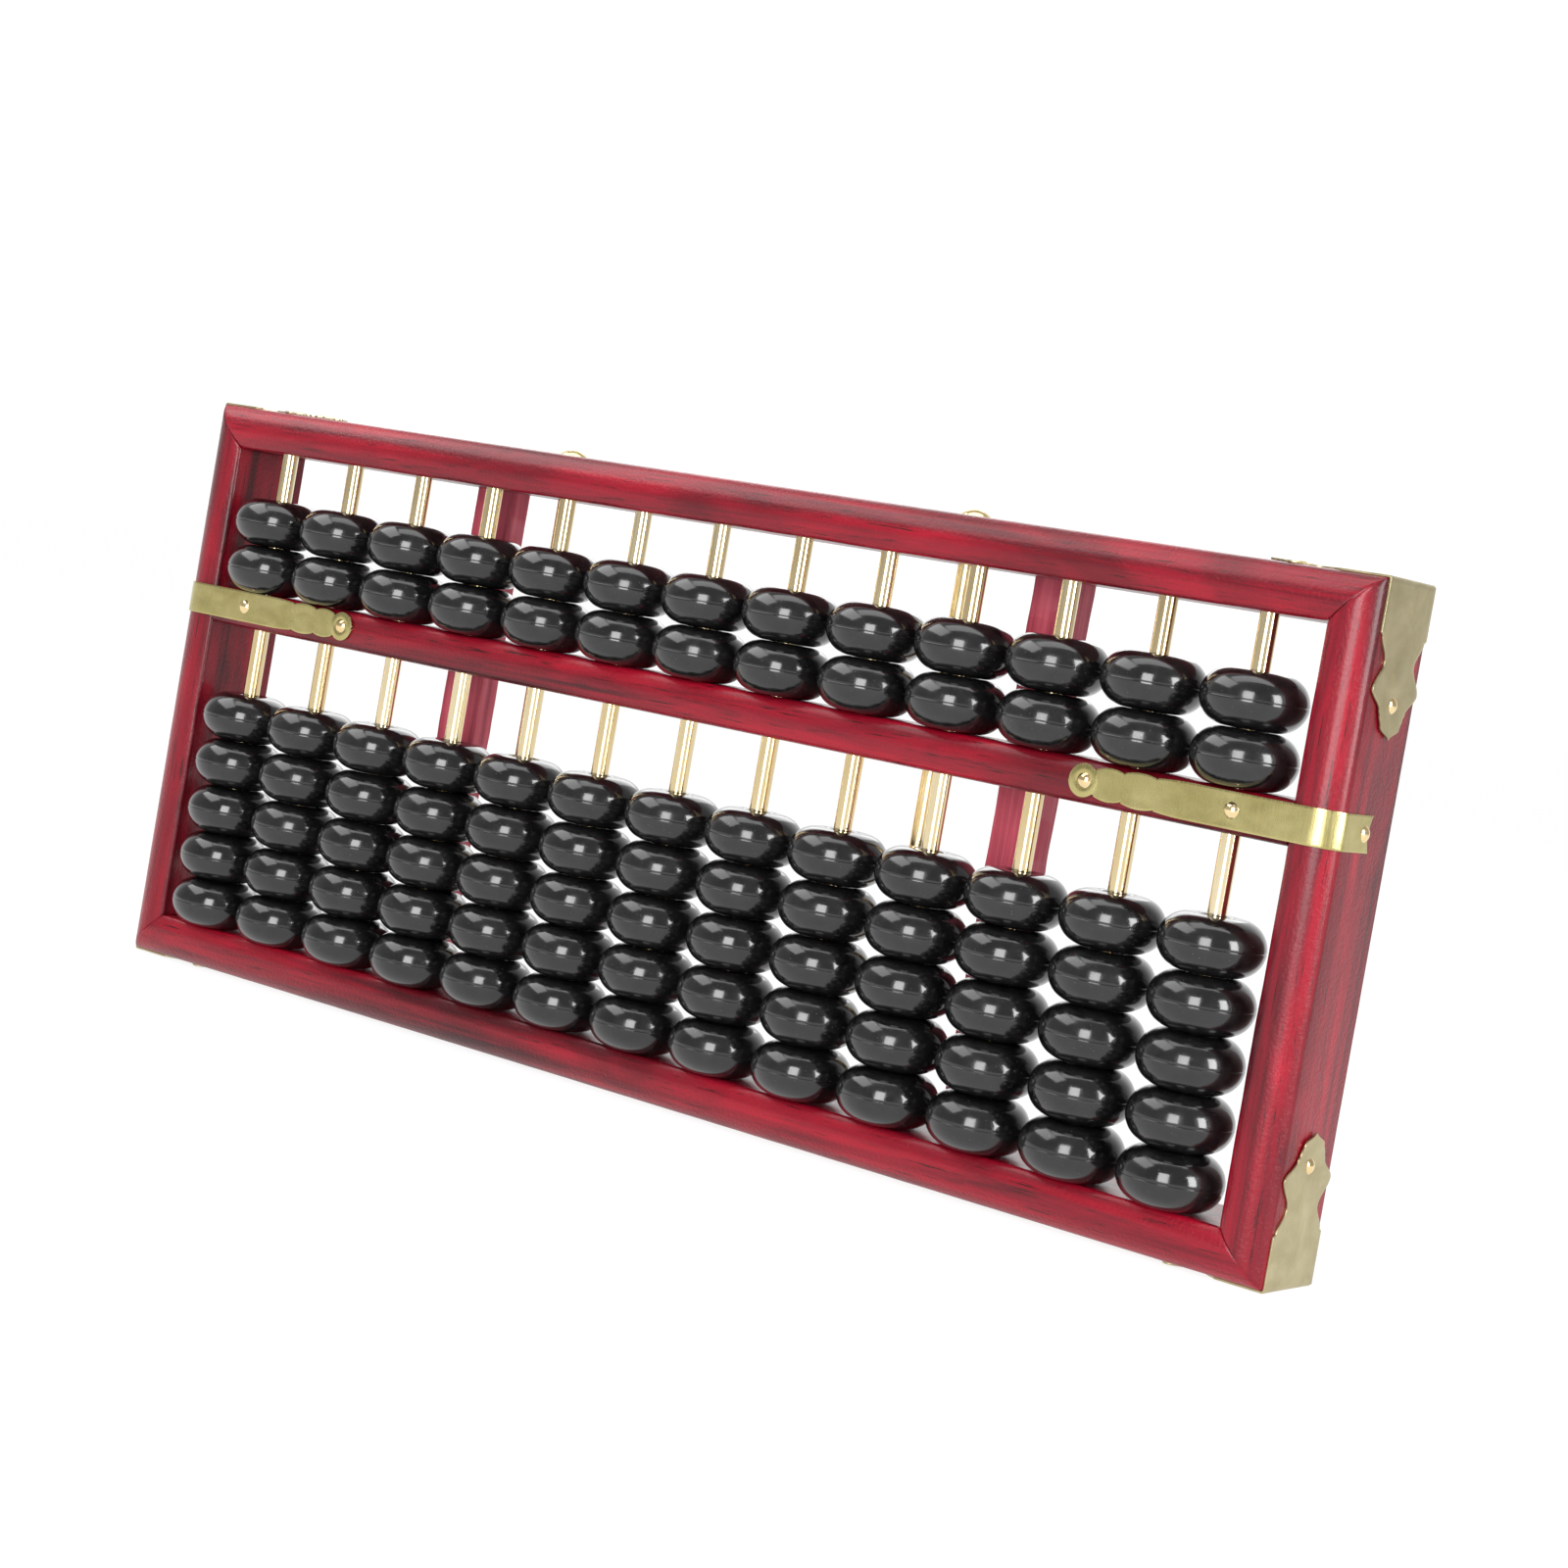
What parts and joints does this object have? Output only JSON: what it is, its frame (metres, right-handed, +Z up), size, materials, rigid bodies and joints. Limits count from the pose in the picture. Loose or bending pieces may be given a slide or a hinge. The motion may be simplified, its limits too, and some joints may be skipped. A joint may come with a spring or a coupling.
{
  "type": "bead abacus",
  "caption": "Upright bead abacus: moulded wooden frame with a dividing beam, metal rods and black sliding beads, brass corner brackets and straps.",
  "frame": {"origin": "middle of the footprint, on the plane the frame stands on", "axes": "+X along the rails, +Z up the rods, the beads and the moulded front face -Y"},
  "size_m": [0.3276, 0.0306, 0.1427],
  "materials": {
    "lacquered_wood": "semi-gloss red lacquer over fine grain",
    "batten_wood": "matt red stain, sawn surface",
    "polished_rod": "polished",
    "bracket_brass": "satin pressed sheet",
    "strap_brass": "cross-brushed sheet",
    "nail_brass": "polished domed heads",
    "bead_plastic": "glossy moulded black"
  },
  "bodies": {
    "frame": {"left_stile": "lacquered_wood", "right_stile": "lacquered_wood", "top_rail": "lacquered_wood", "bottom_rail": "lacquered_wood", "beam": "lacquered_wood", "back_batten_left": "batten_wood", "back_batten_right": "batten_wood", "rods": "polished_rod", "tie_rod_left": "polished_rod", "tie_rod_right": "polished_rod", "bracket_top_left": "bracket_brass", "bracket_top_right": "bracket_brass", "bracket_bottom_left": "bracket_brass", "bracket_bottom_right": "bracket_brass", "beam_strap_left": "strap_brass", "beam_strap_right": "strap_brass", "bracket_nails": "nail_brass", "strap_nail_set": "nail_brass"},
    "upper_01": {"beads_01_upper": "bead_plastic"},
    "lift_01": {"beads_01_lift": "bead_plastic"},
    "base_01": {"beads_01_base": "bead_plastic"},
    "upper_02": {"beads_02_upper": "bead_plastic"},
    "lift_02": {"beads_02_lift": "bead_plastic"},
    "base_02": {"beads_02_base": "bead_plastic"},
    "upper_03": {"beads_03_upper": "bead_plastic"},
    "lift_03": {"beads_03_lift": "bead_plastic"},
    "base_03": {"beads_03_base": "bead_plastic"},
    "upper_04": {"beads_04_upper": "bead_plastic"},
    "lift_04": {"beads_04_lift": "bead_plastic"},
    "base_04": {"beads_04_base": "bead_plastic"},
    "upper_05": {"beads_05_upper": "bead_plastic"},
    "lift_05": {"beads_05_lift": "bead_plastic"},
    "base_05": {"beads_05_base": "bead_plastic"},
    "upper_06": {"beads_06_upper": "bead_plastic"},
    "lift_06": {"beads_06_lift": "bead_plastic"},
    "base_06": {"beads_06_base": "bead_plastic"},
    "upper_07": {"beads_07_upper": "bead_plastic"},
    "lift_07": {"beads_07_lift": "bead_plastic"},
    "base_07": {"beads_07_base": "bead_plastic"},
    "upper_08": {"beads_08_upper": "bead_plastic"},
    "lift_08": {"beads_08_lift": "bead_plastic"},
    "base_08": {"beads_08_base": "bead_plastic"},
    "upper_09": {"beads_09_upper": "bead_plastic"},
    "lift_09": {"beads_09_lift": "bead_plastic"},
    "base_09": {"beads_09_base": "bead_plastic"},
    "upper_10": {"beads_10_upper": "bead_plastic"},
    "lift_10": {"beads_10_lift": "bead_plastic"},
    "base_10": {"beads_10_base": "bead_plastic"},
    "upper_11": {"beads_11_upper": "bead_plastic"},
    "lift_11": {"beads_11_lift": "bead_plastic"},
    "base_11": {"beads_11_base": "bead_plastic"},
    "upper_12": {"beads_12_upper": "bead_plastic"},
    "lift_12": {"beads_12_lift": "bead_plastic"},
    "base_12": {"beads_12_base": "bead_plastic"},
    "upper_13": {"beads_13_upper": "bead_plastic"},
    "lift_13": {"beads_13_lift": "bead_plastic"},
    "base_13": {"beads_13_base": "bead_plastic"}
  },
  "joints": [
    {"name": "upper_01_slide", "type": "slide", "parent": "frame", "child": "upper_01", "axis": [0, 0, 1], "range_m": [0, 0.0115]},
    {"name": "base_01_slide", "type": "slide", "parent": "frame", "child": "base_01", "axis": [0, 0, 1], "range_m": [0, 0.01625]},
    {"name": "lift_01_slide", "type": "slide", "parent": "base_01", "child": "lift_01", "axis": [0, 0, -1], "range_m": [-0.01625, 0]},
    {"name": "upper_02_slide", "type": "slide", "parent": "frame", "child": "upper_02", "axis": [0, 0, 1], "range_m": [0, 0.0115]},
    {"name": "base_02_slide", "type": "slide", "parent": "frame", "child": "base_02", "axis": [0, 0, 1], "range_m": [0, 0.01625]},
    {"name": "lift_02_slide", "type": "slide", "parent": "base_02", "child": "lift_02", "axis": [0, 0, -1], "range_m": [-0.01625, 0]},
    {"name": "upper_03_slide", "type": "slide", "parent": "frame", "child": "upper_03", "axis": [0, 0, 1], "range_m": [0, 0.0115]},
    {"name": "base_03_slide", "type": "slide", "parent": "frame", "child": "base_03", "axis": [0, 0, 1], "range_m": [0, 0.01625]},
    {"name": "lift_03_slide", "type": "slide", "parent": "base_03", "child": "lift_03", "axis": [0, 0, -1], "range_m": [-0.01625, 0]},
    {"name": "upper_04_slide", "type": "slide", "parent": "frame", "child": "upper_04", "axis": [0, 0, 1], "range_m": [0, 0.0115]},
    {"name": "base_04_slide", "type": "slide", "parent": "frame", "child": "base_04", "axis": [0, 0, 1], "range_m": [0, 0.01625]},
    {"name": "lift_04_slide", "type": "slide", "parent": "base_04", "child": "lift_04", "axis": [0, 0, -1], "range_m": [-0.01625, 0]},
    {"name": "upper_05_slide", "type": "slide", "parent": "frame", "child": "upper_05", "axis": [0, 0, 1], "range_m": [0, 0.0115]},
    {"name": "base_05_slide", "type": "slide", "parent": "frame", "child": "base_05", "axis": [0, 0, 1], "range_m": [0, 0.01625]},
    {"name": "lift_05_slide", "type": "slide", "parent": "base_05", "child": "lift_05", "axis": [0, 0, -1], "range_m": [-0.01625, 0]},
    {"name": "upper_06_slide", "type": "slide", "parent": "frame", "child": "upper_06", "axis": [0, 0, 1], "range_m": [0, 0.0115]},
    {"name": "base_06_slide", "type": "slide", "parent": "frame", "child": "base_06", "axis": [0, 0, 1], "range_m": [0, 0.01625]},
    {"name": "lift_06_slide", "type": "slide", "parent": "base_06", "child": "lift_06", "axis": [0, 0, -1], "range_m": [-0.01625, 0]},
    {"name": "upper_07_slide", "type": "slide", "parent": "frame", "child": "upper_07", "axis": [0, 0, 1], "range_m": [0, 0.0115]},
    {"name": "base_07_slide", "type": "slide", "parent": "frame", "child": "base_07", "axis": [0, 0, 1], "range_m": [0, 0.01625]},
    {"name": "lift_07_slide", "type": "slide", "parent": "base_07", "child": "lift_07", "axis": [0, 0, -1], "range_m": [-0.01625, 0]},
    {"name": "upper_08_slide", "type": "slide", "parent": "frame", "child": "upper_08", "axis": [0, 0, 1], "range_m": [0, 0.0115]},
    {"name": "base_08_slide", "type": "slide", "parent": "frame", "child": "base_08", "axis": [0, 0, 1], "range_m": [0, 0.01625]},
    {"name": "lift_08_slide", "type": "slide", "parent": "base_08", "child": "lift_08", "axis": [0, 0, -1], "range_m": [-0.01625, 0]},
    {"name": "upper_09_slide", "type": "slide", "parent": "frame", "child": "upper_09", "axis": [0, 0, 1], "range_m": [0, 0.0115]},
    {"name": "base_09_slide", "type": "slide", "parent": "frame", "child": "base_09", "axis": [0, 0, 1], "range_m": [0, 0.01625]},
    {"name": "lift_09_slide", "type": "slide", "parent": "base_09", "child": "lift_09", "axis": [0, 0, -1], "range_m": [-0.01625, 0]},
    {"name": "upper_10_slide", "type": "slide", "parent": "frame", "child": "upper_10", "axis": [0, 0, 1], "range_m": [0, 0.0115]},
    {"name": "base_10_slide", "type": "slide", "parent": "frame", "child": "base_10", "axis": [0, 0, 1], "range_m": [0, 0.01625]},
    {"name": "lift_10_slide", "type": "slide", "parent": "base_10", "child": "lift_10", "axis": [0, 0, -1], "range_m": [-0.01625, 0]},
    {"name": "upper_11_slide", "type": "slide", "parent": "frame", "child": "upper_11", "axis": [0, 0, 1], "range_m": [0, 0.0115]},
    {"name": "base_11_slide", "type": "slide", "parent": "frame", "child": "base_11", "axis": [0, 0, 1], "range_m": [0, 0.01625]},
    {"name": "lift_11_slide", "type": "slide", "parent": "base_11", "child": "lift_11", "axis": [0, 0, -1], "range_m": [-0.01625, 0]},
    {"name": "upper_12_slide", "type": "slide", "parent": "frame", "child": "upper_12", "axis": [0, 0, 1], "range_m": [0, 0.0115]},
    {"name": "base_12_slide", "type": "slide", "parent": "frame", "child": "base_12", "axis": [0, 0, 1], "range_m": [0, 0.01625]},
    {"name": "lift_12_slide", "type": "slide", "parent": "base_12", "child": "lift_12", "axis": [0, 0, -1], "range_m": [-0.01625, 0]},
    {"name": "upper_13_slide", "type": "slide", "parent": "frame", "child": "upper_13", "axis": [0, 0, 1], "range_m": [0, 0.0115]},
    {"name": "base_13_slide", "type": "slide", "parent": "frame", "child": "base_13", "axis": [0, 0, 1], "range_m": [0, 0.01625]},
    {"name": "lift_13_slide", "type": "slide", "parent": "base_13", "child": "lift_13", "axis": [0, 0, -1], "range_m": [-0.01625, 0]}
  ]
}
